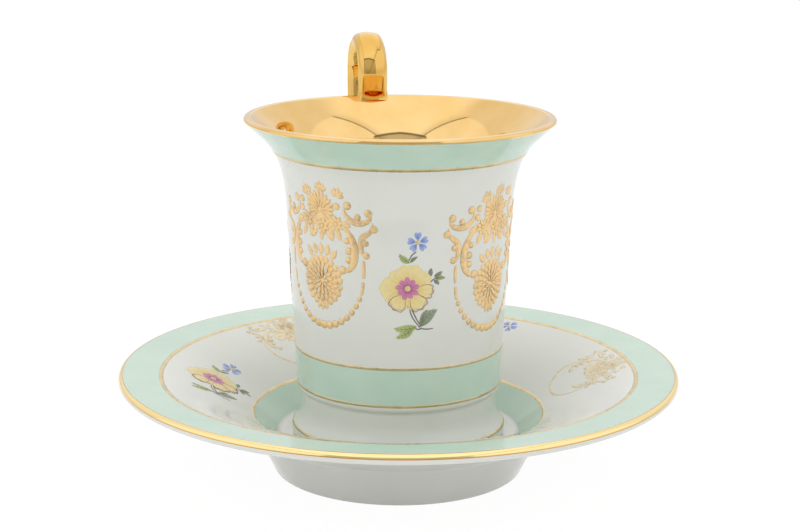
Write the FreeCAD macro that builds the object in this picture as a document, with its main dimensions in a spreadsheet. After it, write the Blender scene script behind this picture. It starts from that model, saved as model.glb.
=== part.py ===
"""A porcelain cup with a high loop handle, standing in the well of its saucer.

Two fired pieces. The saucer is a deep plate on a turned foot, with a flat well for the cup. The cup
is a slightly tapered wall that flares out to the lip like a trumpet, on a hollow waisted foot. Its
strap handle springs from the lip, loops back over and comes in low on the wall.

Millimetres, +Z up. The origin is the middle of the saucer's foot, where it meets the table, and the
handle lies in the half plane of +Y.
"""
import FreeCAD, Part
import Sketcher
import math
import os

# Driving sizes, in millimetres and degrees. The cup's heights count from its own foot.
SIZES = {
    # saucer, upper side
    "saucer_radius": 77.5,
    "rim_height": 28.7,
    "rim_bow": 1.2,
    "border_width": 11.6,
    "border_drop": 1.0,
    "flange_bulge": 80.0,
    "well_slope": 7.2,
    "well_depth": 12.5,
    "well_soft": 3.0,
    "foot_margin": 3.8,
    "floor_height": 9.8,
    # saucer, underside
    "rim_thickness": 2.8,
    "flange_thickness": 3.4,
    "foot_outset": 1.2,
    "foot_ring": 3.4,
    "foot_flare": 5.6,
    "foot_rise": 11.4,
    "foot_soft": 0.9,
    "floor_thickness": 3.8,
    "under_soft": 2.5,
    # cup wall
    "lip_radius": 42.35,
    "lip_height": 89.1,
    "lip_edge": 0.9,
    "lip_thickness": 1.9,
    "lip_soft": 0.8,
    "lip_run": 6.2,
    "flare_turn": 13.7,
    "flare_depth": 23.9,
    "flare_reach": 11.4,
    "lower_flare": 50.0,
    "taper_reach": 2.7,
    "wall": 2.5,
    "cavity_lift": 2.9,
    "cavity_corner": 8.0,
    # cup foot
    "foot_reach": 2.7,
    "cup_foot_bow": 1.3,
    "cup_foot_edge": 4.0,
    "cup_foot_ring": 2.5,
    "cup_foot_soft": 0.6,
    "foot_cove": 7.8,
    "cove_rise": 5.7,
    "neck_length": 3.7,
    "step_reach": 1.35,
    "step_rise": 1.6,
    "step_curve": 1.5,
    "base_thickness": 4.2,
    "hollow_soft": 3.0,
    # handle
    "strap_width": 8.6,
    "strap_thickness": 5.0,
    "strap_corner": 2.2,
    "root_width": 9.4,
    "root_thickness": 2.0,
    "root_inset": 5.1,
    "root_drop": 4.3,
    "root_lean": 46.0,
    "leg_inset": 1.75,
    "leg_rise": 1.5,
    "loop_radius": 9.0,
    "loop_rise": 6.0,
    "back_sweep": 60.0,
    "lower_bend": 12.0,
    "joint_drop": 38.1,
    "joint_length": 4.8,
    "joint_spread": 2.6,
}

# Sizes that follow from the driving ones: the cup's radii from the lip down, then the saucer's well
# and foot, which are set out round the cup's foot, and the cup's heights up from the table side.
WAIST_RADIUS = "(dims.lip_radius - dims.flare_reach)"
BASE_RADIUS = "(" + WAIST_RADIUS + " - dims.taper_reach)"
NECK_RADIUS = "(" + BASE_RADIUS + " - dims.step_reach)"
CUP_FOOT_RADIUS = "(" + NECK_RADIUS + " + dims.foot_reach)"
FLOOR_RADIUS = "(" + CUP_FOOT_RADIUS + " + dims.foot_margin)"
WELL_RADIUS = "(" + FLOOR_RADIUS + " + dims.well_slope)"
FOOT_RADIUS = "(" + FLOOR_RADIUS + " + dims.foot_outset)"
NECK_HEIGHT = "(dims.cup_foot_edge + dims.cove_rise)"
STEP_HEIGHT = "(" + NECK_HEIGHT + " + dims.neck_length)"
BASE_HEIGHT = "(" + STEP_HEIGHT + " + dims.step_rise)"
CAVITY_FLOOR = "(" + BASE_HEIGHT + " + dims.cavity_lift)"
WAIST_HEIGHT = "(dims.lip_height - dims.flare_depth)"
FLARE_HEIGHT = "(dims.lip_height - dims.flare_turn)"
LEG_REACH = "(dims.lip_radius - dims.leg_inset)"
LEG_HEIGHT = "(dims.lip_height + dims.leg_rise)"
LOOP_HEIGHT = "(dims.lip_height + dims.loop_rise)"
JOINT_HEIGHT = "(dims.lip_height - dims.joint_drop)"

# How much the plain part of the cup's wall widens for each millimetre of height.
TAPER = "dims.taper_reach / (" + WAIST_HEIGHT + " - " + BASE_HEIGHT + ")"

doc = FreeCAD.newDocument("cup_and_saucer")
sheet = doc.addObject("Spreadsheet::Sheet", "dims")
for row, (alias, number) in enumerate(SIZES.items(), start=1):
    sheet.set("A%d" % row, alias.replace("_", " "))
    sheet.set("B%d" % row, str(number))
    sheet.setAlias("B%d" % row, alias)
doc.recompute()


def origin_plane(body, role):
    """The plane of the body's own origin that has this role, such as XZ_Plane."""
    return next(item for item in body.Origin.OriginFeatures if item.Role == role)


def measure(item, text):
    """The number that an expression in the sheet's sizes has now."""
    return float(item.evalExpression(text))


def bind(sketch, constraint, text):
    """Adds a constraint with a size to the sketch and ties that size to an expression."""
    index = sketch.addConstraint(constraint)
    name = "size%d" % index
    sketch.renameConstraint(index, name)
    sketch.setExpression("Constraints." + name, text)


class Outline:
    """One run of lines and arcs in a sketch, tied to the sheet.

    A corner is a pair of expressions. A coordinate that `hold` leaves out is only where the solver
    starts, and tangency or a radius settles it.
    """

    def __init__(self, body, name, role):
        self.sketch = body.newObject("Sketcher::SketchObject", name)
        self.sketch.AttachmentSupport = [(origin_plane(body, role), "")]
        self.sketch.MapMode = "FlatFace"
        self.start = None
        self.last = None

    def spot(self, x, y):
        """A corner's two expressions as a point of the sketch."""
        return FreeCAD.Vector(measure(self.sketch, x), measure(self.sketch, y), 0)

    def hold(self, end, x, y, which):
        """Fixes an end's distances from the sketch's origin; a distance of 0 puts it on the axis."""
        for name, text, kind, axis in (("x", x, "DistanceX", -2), ("y", y, "DistanceY", -1)):
            if name not in which:
                continue
            if text == "0":
                self.sketch.addConstraint(Sketcher.Constraint("PointOnObject", *end, axis))
            else:
                distance = Sketcher.Constraint(kind, -1, 1, *end, measure(self.sketch, text))
                bind(self.sketch, distance, text)

    def begin(self, x, y):
        """The run starts at this corner."""
        self.corner = (x, y)
        self.point = self.spot(x, y)

    def join(self, end, tangent):
        """Ties an element's first end to the last end of the one before it."""
        if self.last is None:
            self.start = end
            self.hold(end, *self.corner, "xy")
        else:
            kind = "Tangent" if tangent else "Coincident"
            self.sketch.addConstraint(Sketcher.Constraint(kind, *self.last, *end))

    def line(self, x, y, hold="xy", tangent=False, length=None):
        """A straight side to the next corner, with its length tied to the sheet if one is given."""
        point = self.spot(x, y)
        index = self.sketch.addGeometry(Part.LineSegment(self.point, point))
        self.join((index, 1), tangent)
        self.last = (index, 2)
        self.hold(self.last, x, y, hold)
        if length:
            bind(self.sketch, Sketcher.Constraint("Distance", index, (point - self.point).Length), length)
        self.heading = (point - self.point).normalize()
        self.point = point

    def arc(self, x, y, radius=None, turn=1, hold="xy", tangent=False):
        """An arc to the next corner, tangent to the side before it or bowed to `turn` (1 is left)."""
        point = self.spot(x, y)
        chord = point - self.point
        if tangent:
            left = FreeCAD.Vector(-self.heading.y, self.heading.x, 0)
            offset = chord.Length**2 / (2 * left.dot(chord))
            centre = self.point + left * offset
            turn = 1 if offset > 0 else -1
        else:
            left = FreeCAD.Vector(-chord.y, chord.x, 0).normalize()
            rise = math.sqrt(measure(self.sketch, radius) ** 2 - chord.Length**2 / 4)
            centre = self.point + chord * 0.5 + left * (turn * rise)
        angles = [math.atan2(p.y - centre.y, p.x - centre.x) for p in (self.point, point)]
        circle = Part.Circle(centre, FreeCAD.Vector(0, 0, 1), (point - centre).Length)
        index = self.sketch.addGeometry(Part.ArcOfCircle(circle, *angles[::turn]))
        near, far = [(index, 1), (index, 2)][::turn]
        self.join(near, tangent)
        self.last = far
        if radius:
            bind(self.sketch, Sketcher.Constraint("Radius", index, circle.Radius), radius)
        self.hold(far, x, y, hold)
        spoke = (point - centre).normalize()
        self.heading = FreeCAD.Vector(-spoke.y, spoke.x, 0) * turn
        self.point = point

    def close(self):
        """Ties the end of the run to its start."""
        self.sketch.addConstraint(Sketcher.Constraint("Coincident", *self.last, *self.start))
        return self.sketch


def turned(body, kind, name, sketch):
    """A full turn of the sketch about the vertical axis, added to the body or cut from it."""
    feature = body.newObject(kind, name)
    feature.Profile = sketch
    feature.ReferenceAxis = (sketch, ["V_Axis"])
    feature.Angle = 360
    doc.recompute()
    return feature


def ring_edge(shape, radius, height):
    """The name of the circular edge about the vertical axis with this radius and height."""
    for number, edge in enumerate(shape.Edges, start=1):
        if edge.Curve.TypeId != "Part::GeomCircle":
            continue
        centre = edge.Curve.Center
        off = max(abs(edge.Curve.Radius - radius), abs(centre.z - height), math.hypot(centre.x, centre.y))
        if off < 1e-3:
            return "Edge%d" % number
    raise ValueError("no ring of radius %.3f at height %.3f" % (radius, height))


def rounded(body, name, before, rings, radius):
    """Rounds circular edges of the feature before it; a ring is a pair of expressions."""
    edges = [ring_edge(before.Shape, measure(before, r), measure(before, z)) for r, z in rings]
    feature = body.newObject("PartDesign::Fillet", name)
    feature.Base = (before, edges)
    feature.setExpression("Radius", radius)
    doc.recompute()
    return feature


def make_saucer():
    """The saucer: one turned plate, hollow under its foot, with its corners softened."""
    body = doc.addObject("PartDesign::Body", "saucer")
    body.Label = "saucer"

    border_inner = "dims.saucer_radius - dims.border_width"
    border_height = "dims.rim_height - dims.border_drop"
    well_height = "dims.rim_height - dims.well_depth"
    under_border = "dims.rim_height - dims.border_drop - dims.flange_thickness"
    under_rim = "dims.rim_height - dims.rim_thickness"
    rim_start = "dims.saucer_radius - dims.rim_bow"
    rim_curve = "((dims.rim_thickness / 2) ^ 2 + dims.rim_bow ^ 2) / (2 * dims.rim_bow)"
    foot_top = FOOT_RADIUS + " + dims.foot_flare"

    plate = Outline(body, "PlateSection", "XZ_Plane")
    plate.begin("0", "0")
    plate.line(FOOT_RADIUS, "0")
    plate.line(foot_top, "dims.foot_rise")
    plate.line(border_inner, under_border)
    plate.line(rim_start, under_rim)
    plate.arc(rim_start, "dims.rim_height", rim_curve)
    plate.line(border_inner, border_height)
    plate.arc(WELL_RADIUS, well_height, "dims.flange_bulge")
    plate.line(FLOOR_RADIUS, "dims.floor_height")
    plate.line("0", "dims.floor_height")
    plate.line("0", "0", hold="")
    turned(body, "PartDesign::Revolution", "Plate", plate.close())

    hollow_radius = FOOT_RADIUS + " - dims.foot_ring"
    hollow_height = "dims.floor_height - dims.floor_thickness"
    hollow = Outline(body, "PlateHollowSection", "XZ_Plane")
    hollow.begin("0", "0")
    hollow.line(hollow_radius, "0")
    hollow.line(hollow_radius, hollow_height)
    hollow.line("0", hollow_height)
    hollow.line("0", "0", hold="")
    cut = turned(body, "PartDesign::Groove", "PlateHollow", hollow.close())

    foot_rings = [(FOOT_RADIUS, "0"), (hollow_radius, "0")]
    well_rings = [(WELL_RADIUS, well_height), (FLOOR_RADIUS, "dims.floor_height")]
    under_rings = [(foot_top, "dims.foot_rise"), (border_inner, under_border), (hollow_radius, hollow_height)]
    soft = rounded(body, "PlateFootSoft", cut, foot_rings, "dims.foot_soft")
    soft = rounded(body, "PlateWellSoft", soft, well_rings, "dims.well_soft")
    rounded(body, "PlateUnderSoft", soft, under_rings, "dims.under_soft")
    return body


def cut_cup_form(body):
    """The outside of the cup as one solid: foot bead, cove, neck, step, tapered wall, flare and lip."""
    outside = Outline(body, "OutsideSection", "XZ_Plane")
    outside.begin("0", "0")
    outside.line(CUP_FOOT_RADIUS + " - dims.cup_foot_bow", "0")
    bead_top = CUP_FOOT_RADIUS + " - 0.3 * dims.cup_foot_bow"
    outside.arc(bead_top, "dims.cup_foot_edge", "0.65 * dims.cup_foot_edge")
    outside.arc(NECK_RADIUS, NECK_HEIGHT, "dims.foot_cove", turn=-1)
    outside.line(NECK_RADIUS, STEP_HEIGHT)
    outside.arc(BASE_RADIUS, BASE_HEIGHT, "dims.step_curve")
    outside.line(WAIST_RADIUS, WAIST_HEIGHT)
    outside.arc(WAIST_RADIUS + " + 1.9", FLARE_HEIGHT, "dims.lower_flare", hold="y", tangent=True)
    outside.arc("dims.lip_radius - 5", "dims.lip_height - 5.6", hold="", tangent=True)
    lip_foot = ("dims.lip_radius", "dims.lip_height - dims.lip_edge")
    outside.line(*lip_foot, tangent=True, length="dims.lip_run")
    outside.line("dims.lip_radius", "dims.lip_height")
    outside.line("0", "dims.lip_height")
    outside.line("0", "0", hold="")
    return turned(body, "PartDesign::Revolution", "Form", outside.close())


def cut_cavity(body):
    """The inside of the cup: a flat floor, a round corner and a face that runs with the outside."""
    corner_height = CAVITY_FLOOR + " + dims.cavity_corner"
    above_base = "(dims.cavity_lift + dims.cavity_corner)"
    corner_radius = BASE_RADIUS + " - dims.wall + " + above_base + " * " + TAPER
    inside = Outline(body, "CavitySection", "XZ_Plane")
    inside.begin("0", CAVITY_FLOOR)
    inside.line(corner_radius + " - dims.cavity_corner", CAVITY_FLOOR)
    inside.arc(corner_radius, corner_height, "dims.cavity_corner")
    inside.line(WAIST_RADIUS + " - dims.wall", WAIST_HEIGHT)
    lower = (WAIST_RADIUS + " - dims.wall + 1.9", FLARE_HEIGHT + " + 0.3 * dims.wall")
    inside.arc(*lower, "dims.lower_flare + dims.wall", hold="y", tangent=True)
    upper = ("dims.lip_radius - dims.lip_thickness - 4", "dims.lip_height - 3.6")
    inside.arc(*upper, hold="", tangent=True)
    lip_inner = ("dims.lip_radius - dims.lip_thickness", "dims.lip_height")
    inside.line(*lip_inner, tangent=True, length="dims.lip_run")
    inside.line("0", "dims.lip_height")
    inside.line("0", CAVITY_FLOOR, hold="")
    return turned(body, "PartDesign::Groove", "Cavity", inside.close())


def cut_foot_hollow(body):
    """The hollow under the cup, which leaves a ring to stand on."""
    bead_radius = CUP_FOOT_RADIUS + " - dims.cup_foot_bow"
    ring_radius = bead_radius + " - dims.cup_foot_ring"
    hollow_radius = NECK_RADIUS + " - dims.wall"
    hollow_height = CAVITY_FLOOR + " - dims.base_thickness"
    under = Outline(body, "FootHollowSection", "XZ_Plane")
    under.begin("0", "0")
    under.line(ring_radius, "0")
    under.line(hollow_radius, hollow_height)
    under.line("0", hollow_height)
    under.line("0", "0", hold="")
    cut = turned(body, "PartDesign::Groove", "FootHollow", under.close())

    lip_rings = [("dims.lip_radius", "dims.lip_height")]
    lip_rings.append(("dims.lip_radius - dims.lip_thickness", "dims.lip_height"))
    foot_rings = [(ring_radius, "0"), (bead_radius, "0")]
    soft = rounded(body, "LipSoft", cut, lip_rings, "dims.lip_soft")
    soft = rounded(body, "FootSoft", soft, foot_rings, "dims.cup_foot_soft")
    rounded(body, "HollowSoft", soft, [(hollow_radius, hollow_height)], "dims.hollow_soft")


def strap_section(body, name, role, offsets, lean, width, depth):
    """A rectangle with round corners, set off from an origin plane and leaned about its X axis."""
    sketch = body.newObject("Sketcher::SketchObject", name)
    sketch.AttachmentSupport = [(origin_plane(body, role), "")]
    sketch.MapMode = "FlatFace"
    tilt = FreeCAD.Rotation(FreeCAD.Vector(-1, 0, 0), measure(sketch, lean))
    sketch.AttachmentOffset = FreeCAD.Placement(FreeCAD.Vector(), tilt)
    if lean != "0":
        sketch.setExpression("AttachmentOffset.Rotation.Angle", lean + " * 1 deg")
    for axis, text in offsets.items():
        sketch.setExpression("AttachmentOffset.Base." + axis, text)

    corner = "min(dims.strap_corner; 0.44 * " + depth + ")"
    half_x, half_y, soft = (measure(sketch, t) for t in (width + " / 2", depth + " / 2", corner))
    up = FreeCAD.Vector(0, 0, 1)
    sides = []
    arcs = []
    for turn in range(4):
        across, along = [(half_x, half_y), (half_y, half_x)][turn % 2]
        spin = FreeCAD.Rotation(up, 90 * turn)
        ends = [spin.multVec(FreeCAD.Vector(x, -along, 0)) for x in (soft - across, across - soft)]
        sides.append(sketch.addGeometry(Part.LineSegment(*ends)))
        centre = spin.multVec(FreeCAD.Vector(across - soft, soft - along, 0))
        begin = math.radians(90 * turn - 90)
        circle = Part.Circle(centre, up, soft)
        arcs.append(sketch.addGeometry(Part.ArcOfCircle(circle, begin, begin + math.pi / 2)))
    for turn in range(4):
        sketch.addConstraint(Sketcher.Constraint("Tangent", sides[turn], 2, arcs[turn], 1))
        sketch.addConstraint(Sketcher.Constraint("Tangent", arcs[turn], 2, sides[(turn + 1) % 4], 1))
        level = ["Horizontal", "Vertical"][turn % 2]
        sketch.addConstraint(Sketcher.Constraint(level, sides[turn]))
    for turn in range(3):
        sketch.addConstraint(Sketcher.Constraint("Equal", arcs[turn], arcs[turn + 1]))
    sketch.addConstraint(Sketcher.Constraint("Symmetric", sides[0], 1, sides[2], 1, -1, 1))
    bind(sketch, Sketcher.Constraint("Radius", arcs[0], soft), corner)
    bind(sketch, Sketcher.Constraint("DistanceX", sides[3], 1, sides[1], 1, 2 * half_x), width)
    bind(sketch, Sketcher.Constraint("DistanceY", sides[0], 1, sides[2], 1, 2 * half_y), depth)
    return sketch


def loft(body, name, first, second):
    """A tapering stretch of the handle between two sections."""
    feature = body.newObject("PartDesign::AdditiveLoft", name)
    feature.Profile = first
    feature.Sections = [second]
    doc.recompute()
    return feature


def add_handle(body):
    """The strap handle: a root that thins into the lip, a loop, and a joint that spreads on the wall."""
    above_base = "(" + JOINT_HEIGHT + " - " + BASE_HEIGHT + ")"
    wall_middle = BASE_RADIUS + " + " + above_base + " * " + TAPER + " - dims.wall / 2"
    joint_start = wall_middle + " + dims.joint_length"
    back_reach = LEG_REACH + " + 2 * dims.loop_radius"

    path = Outline(body, "HandlePath", "YZ_Plane")
    path.begin(LEG_REACH, LEG_HEIGHT)
    path.line(LEG_REACH, LOOP_HEIGHT)
    path.arc(back_reach, LOOP_HEIGHT, "dims.loop_radius", hold="y", tangent=True)
    path.arc(back_reach + " - 15", JOINT_HEIGHT + " + 4", "dims.back_sweep", hold="", tangent=True)
    path.arc(back_reach + " - 24", JOINT_HEIGHT, "dims.lower_bend", hold="y", tangent=True)
    path.line(joint_start, JOINT_HEIGHT, tangent=True)

    root_place = {"y": "dims.lip_radius - dims.root_inset", "z": "dims.lip_height - dims.root_drop"}
    leg_place = {"y": LEG_REACH, "z": LEG_HEIGHT}
    start_place = {"y": JOINT_HEIGHT, "z": "-(" + joint_start + ")"}
    end_place = {"y": JOINT_HEIGHT, "z": "-(" + wall_middle + ")"}
    strap = ("dims.strap_width", "dims.strap_thickness")
    spread = ("(dims.strap_width + dims.joint_spread)", "(dims.strap_thickness + dims.joint_spread)")
    root_size = ("dims.root_width", "dims.root_thickness")
    root = strap_section(body, "RootSection", "XY_Plane", root_place, "dims.root_lean", *root_size)
    leg = strap_section(body, "LegSection", "XY_Plane", leg_place, "0", *strap)
    start = strap_section(body, "JointStart", "XZ_Plane", start_place, "0", *strap)
    end = strap_section(body, "JointEnd", "XZ_Plane", end_place, "0", *spread)
    doc.recompute()

    loft(body, "HandleRoot", root, leg)
    loop = body.newObject("PartDesign::AdditivePipe", "HandleLoop")
    loop.Profile = leg
    loop.Spine = (path.sketch, ["Edge%d" % (n + 1) for n in range(len(path.sketch.Shape.Edges))])
    doc.recompute()
    loft(body, "HandleJoint", start, end)


def make_cup():
    """The cup with its handle, one fired piece, standing on the floor of the saucer's well."""
    body = doc.addObject("PartDesign::Body", "cup")
    body.Label = "cup"
    body.setExpression("Placement.Base.z", "dims.floor_height")
    cut_cup_form(body)
    cut_cavity(body)
    cut_foot_hollow(body)
    add_handle(body)
    return body


def check(bodies):
    """Stops where an object failed, or where a body isn't one valid solid."""
    for item in doc.Objects:
        if "Invalid" in item.State or "Error" in item.State:
            raise RuntimeError("%s failed: %s" % (item.Name, item.State))
    for body in bodies:
        shape = body.Shape
        if shape.isNull() or not shape.isValid() or len(shape.Solids) != 1:
            raise RuntimeError("%s isn't one valid solid" % body.Label)


pieces = [make_saucer(), make_cup()]
doc.recompute()
check(pieces)
os.makedirs("parts", exist_ok=True)
for piece in pieces:
    piece.Shape.exportStep("parts/%s.step" % piece.Label)
    print("%s: %.0f cubic millimetres" % (piece.Label, piece.Shape.Volume))
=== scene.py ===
"""A porcelain cup and saucer: white glaze, pale green grounds, burnished gold and painted flowers.

Lengths are millimetres until a mesh is made. Heights count from the table. The handle lies in the
half plane of +Y, and the camera stands a little to the left of the cup's front.
"""

import math

import bmesh
import bpy
import numpy as np
from mathutils import Euler, Matrix, Vector


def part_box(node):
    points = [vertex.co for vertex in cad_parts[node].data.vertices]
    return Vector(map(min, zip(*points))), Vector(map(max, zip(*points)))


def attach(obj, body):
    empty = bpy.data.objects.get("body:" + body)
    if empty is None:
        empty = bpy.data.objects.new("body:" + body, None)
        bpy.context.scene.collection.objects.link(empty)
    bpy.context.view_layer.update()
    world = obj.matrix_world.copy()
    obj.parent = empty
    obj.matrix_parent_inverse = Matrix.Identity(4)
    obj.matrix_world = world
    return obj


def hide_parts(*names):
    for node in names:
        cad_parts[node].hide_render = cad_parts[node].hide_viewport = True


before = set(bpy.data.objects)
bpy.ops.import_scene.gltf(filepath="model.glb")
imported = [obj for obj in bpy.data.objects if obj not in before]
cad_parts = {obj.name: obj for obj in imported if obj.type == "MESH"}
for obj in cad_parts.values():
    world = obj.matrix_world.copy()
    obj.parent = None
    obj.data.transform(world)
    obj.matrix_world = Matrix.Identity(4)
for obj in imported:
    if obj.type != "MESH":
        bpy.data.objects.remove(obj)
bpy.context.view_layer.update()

MM = 0.001

# Sizes that the frame gives
SAUCER_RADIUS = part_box("saucer")[1].x / MM
LIP_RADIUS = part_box("cup")[1].x / MM
CUP_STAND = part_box("cup")[0].z / MM

# Cup, outside
LIP_HEIGHT = CUP_STAND + 89.1
LIP_EDGE = 0.9
LIP_THICKNESS = 1.9
LIP_SOFT = 0.8
LIP_RUN = 6.2
FLARE_TURN = LIP_HEIGHT - 13.7
WAIST_HEIGHT = LIP_HEIGHT - 23.9
WAIST_RADIUS = LIP_RADIUS - 11.4
LOWER_FLARE = 50.0
BASE_RADIUS = WAIST_RADIUS - 2.7
NECK_RADIUS = BASE_RADIUS - 1.35
FOOT_RADIUS = NECK_RADIUS + 2.7
FOOT_BOW = 1.3
FOOT_EDGE = CUP_STAND + 4.0
NECK_HEIGHT = FOOT_EDGE + 5.7
STEP_HEIGHT = NECK_HEIGHT + 3.7
BASE_HEIGHT = STEP_HEIGHT + 1.6
STEP_CURVE = 1.5
FOOT_COVE = 7.8
FOOT_RING = 2.5
FOOT_SOFT = 0.6

# Cup, inside
WALL = 2.5
CAVITY_FLOOR = BASE_HEIGHT + 2.9
CAVITY_CORNER = 8.0
HOLLOW_TOP = CAVITY_FLOOR - 4.2
HOLLOW_SOFT = 3.0

# Saucer
RIM_HEIGHT = 28.7
RIM_THICKNESS = 2.8
RIM_BOW = 1.2
BORDER_RADIUS = SAUCER_RADIUS - 11.6
BORDER_HEIGHT = RIM_HEIGHT - 1.0
FLANGE_BULGE = 80.0
FLANGE_THICKNESS = 3.4
FLOOR_RADIUS = FOOT_RADIUS + 3.8
WELL_RADIUS = FLOOR_RADIUS + 7.2
WELL_HEIGHT = RIM_HEIGHT - 12.5
WELL_SOFT = 3.0
STAND_RADIUS = FLOOR_RADIUS + 1.2
STAND_RING = 3.4
STAND_SOFT = 0.9
STAND_TOP = (STAND_RADIUS + 5.6, 11.4)
STAND_HOLLOW = CUP_STAND - 3.8
UNDER_SOFT = 2.5

# Handle
STRAP_WIDTH = 8.0
STRAP_DEPTH = 4.34
STRAP_CROWN = 0.3
STRAP_CORNER = 2.1
LEG_REACH = LIP_RADIUS - 1.75
LOOP_RADIUS = 9.0
LOOP_HEIGHT = LIP_HEIGHT + 6.0
BACK_SWEEP = 60.0
LOWER_BEND = 12.0
JOINT_HEIGHT = LIP_HEIGHT - 38.1
ROOT = (LIP_RADIUS - 3.2, LIP_HEIGHT - 2.4)
ROOT_LEAN = math.radians(46)
ROOT_LENGTH = 4.2
ROOT_SPREAD = 1.2
ROOT_THINNING = 2.4
LEG_RISE = 1.5
JOINT_LENGTH = 4.8
JOINT_SPREAD = 2.6

# How finely the surfaces are divided
AROUND_CUP = 288
AROUND_SAUCER = 384
STEP = 1.1


def bow(start, end, radius, side=1, count=14):
    """Points of an arc from start to end, whose centre lies left (side 1) or right (-1) of the chord.

    The centre is on the chord's middle normal, sqrt(radius^2 - (chord / 2)^2) from it, and the points
    turn about it by equal angles.
    """
    start, end = np.array(start, float), np.array(end, float)
    chord = end - start
    length = np.hypot(*chord)
    normal = np.array([-chord[1], chord[0]]) / length
    centre = (start + end) / 2 + side * normal * math.sqrt(radius**2 - length**2 / 4)
    first = math.atan2(*(start - centre)[::-1])
    angles = first + side * 2 * math.asin(length / 2 / radius) * np.linspace(0, 1, count)
    return centre + radius * np.column_stack([np.cos(angles), np.sin(angles)])


def flare(start, end, lower_radius, middle, count=16):
    """The trumpet line of the wall, from start up to end, both (radius, height).

    An arc of lower_radius leans on from the wall's taper up to the middle height. A second arc goes on
    from it to a straight run of LIP_RUN that ends at the lip. With the chord c from the middle to the
    end, at the angle A to the first arc's end, the second arc turns by 2 atan(c sin A / (run + c cos A)).
    """
    lean = math.atan2(WAIST_RADIUS - BASE_RADIUS, WAIST_HEIGHT - BASE_HEIGHT)
    bend = math.asin(math.sin(lean) + (middle - start[1]) / lower_radius)
    angles = np.linspace(lean, bend, count)
    lower = np.column_stack([
        start[0] + lower_radius * (math.cos(lean) - np.cos(angles)),
        start[1] + lower_radius * (np.sin(angles) - math.sin(lean)),
    ])
    across, up = np.array(end) - lower[-1]
    chord = math.hypot(across, up)
    off = math.atan2(across, up) - bend
    turn = 2 * math.atan(chord * math.sin(off) / (LIP_RUN + chord * math.cos(off)))
    radius = chord * math.sin(turn - off) / math.sin(turn) / math.tan(turn / 2)
    angles = np.linspace(bend, bend + turn, count)
    upper = np.column_stack([
        lower[-1, 0] + radius * (math.cos(bend) - np.cos(angles)),
        lower[-1, 1] + radius * (np.sin(angles) - math.sin(bend)),
    ])
    return np.vstack([lower, upper[1:], [end]])


def softened(corners, count=7):
    """The line through corners (x, y, softness), with each soft corner as an arc of that radius.

    Where the line turns by t, the arc starts and ends softness * tan(t / 2) from the corner, and its
    points turn by equal angles.
    """
    corners = np.array(corners, float)
    points = [corners[:1, :2]]
    for before, here, after in zip(corners, corners[1:], corners[2:]):
        if not here[2]:
            points.append(here[None, :2])
            continue
        into = (here - before)[:2] / np.hypot(*(here - before)[:2])
        out = (after - here)[:2] / np.hypot(*(after - here)[:2])
        turn = math.atan2(into[0] * out[1] - into[1] * out[0], into @ out)
        back = here[2] * math.tan(abs(turn) / 2)
        points.append(bow(here[:2] - into * back, here[:2] + out * back, here[2], np.sign(turn), count))
    points.append(corners[-1:, :2])
    return np.vstack(points)


def plain(points):
    """Points of a line as corners with no softness."""
    return np.column_stack([points, np.zeros(len(points))])


def divided(line, step=STEP):
    """The line with every stretch cut into equal pieces no longer than step."""
    pieces = []
    for start, end in zip(line, line[1:]):
        count = max(1, math.ceil(np.hypot(*(end - start)) / step))
        pieces.append(start + (end - start) * np.arange(count)[:, None] / count)
    return np.vstack(pieces + [line[-1:]])


def lengths(line):
    """The length along a line up to each of its points: the sum of the steps before it."""
    return np.concatenate([[0], np.cumsum(np.hypot(*np.diff(line, axis=0).T))])


def surface(name, points, close_rows=False, close_columns=True, merge=False):
    """A mesh of four-sided faces on a grid of points, rows by columns by xyz in millimetres.

    A face's outside is to the left of its row direction as seen along its columns, which for a turned
    piece means a profile that runs up the outside. The UV map holds each point's share of the way
    round and along, for patterns that follow the surface.
    """
    rows, columns = points.shape[:2]
    row = np.arange(rows if close_rows else rows - 1)
    column = np.arange(columns if close_columns else columns - 1)
    row, column = (axis.ravel() for axis in np.meshgrid(row, column, indexing="ij"))
    next_row, next_column = (row + 1) % rows, (column + 1) % columns
    faces = np.column_stack([
        row * columns + column,
        row * columns + next_column,
        next_row * columns + next_column,
        next_row * columns + column,
    ])
    share = np.stack([
        np.column_stack([column, column + 1, column + 1, column]) / len(set(column)),
        np.column_stack([row, row, row + 1, row + 1]) / max(rows - 1, 1),
    ], axis=-1)
    return mesh_piece(name, points.reshape(-1, 3), faces, share.reshape(-1, 2), merge)


def mesh_piece(name, points, faces, share, merge=False):
    """A smooth piece from points in millimetres, four-sided faces and one UV pair for each corner."""
    mesh = bpy.data.meshes.new(name)
    mesh.vertices.add(len(points))
    mesh.vertices.foreach_set("co", (np.asarray(points) * MM).astype(np.float32).ravel())
    mesh.loops.add(faces.size)
    mesh.loops.foreach_set("vertex_index", faces.astype(np.int32).ravel())
    mesh.polygons.add(len(faces))
    mesh.polygons.foreach_set("loop_start", np.arange(0, faces.size, 4, dtype=np.int32))
    mesh.polygons.foreach_set("use_smooth", np.ones(len(faces), bool))
    mesh.uv_layers.new(name="along").data.foreach_set("uv", share.astype(np.float32).ravel())
    mesh.update(calc_edges=True)
    if merge:
        merge_poles(mesh)
    piece = bpy.data.objects.new(name, mesh)
    bpy.context.scene.collection.objects.link(piece)
    return piece


def merge_poles(mesh):
    """Joins points that fall together, so that a ring of no size becomes one point."""
    built = bmesh.new()
    built.from_mesh(mesh)
    bmesh.ops.remove_doubles(built, verts=built.verts, dist=2e-7)
    built.to_mesh(mesh)
    built.free()


def wobble(angle, height):
    """What firing adds to a wall's radius at an angle and height: from -0.11 to 0 millimetres.

    It is a wave with two crests round the piece and one with three, both drifting with the height,
    less their greatest sum.
    """
    slow = 0.035 * np.sin(2 * angle + 0.6 + height / 40) + 0.02 * np.sin(3 * angle + 1.9 - height / 25)
    return slow - 0.055


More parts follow.
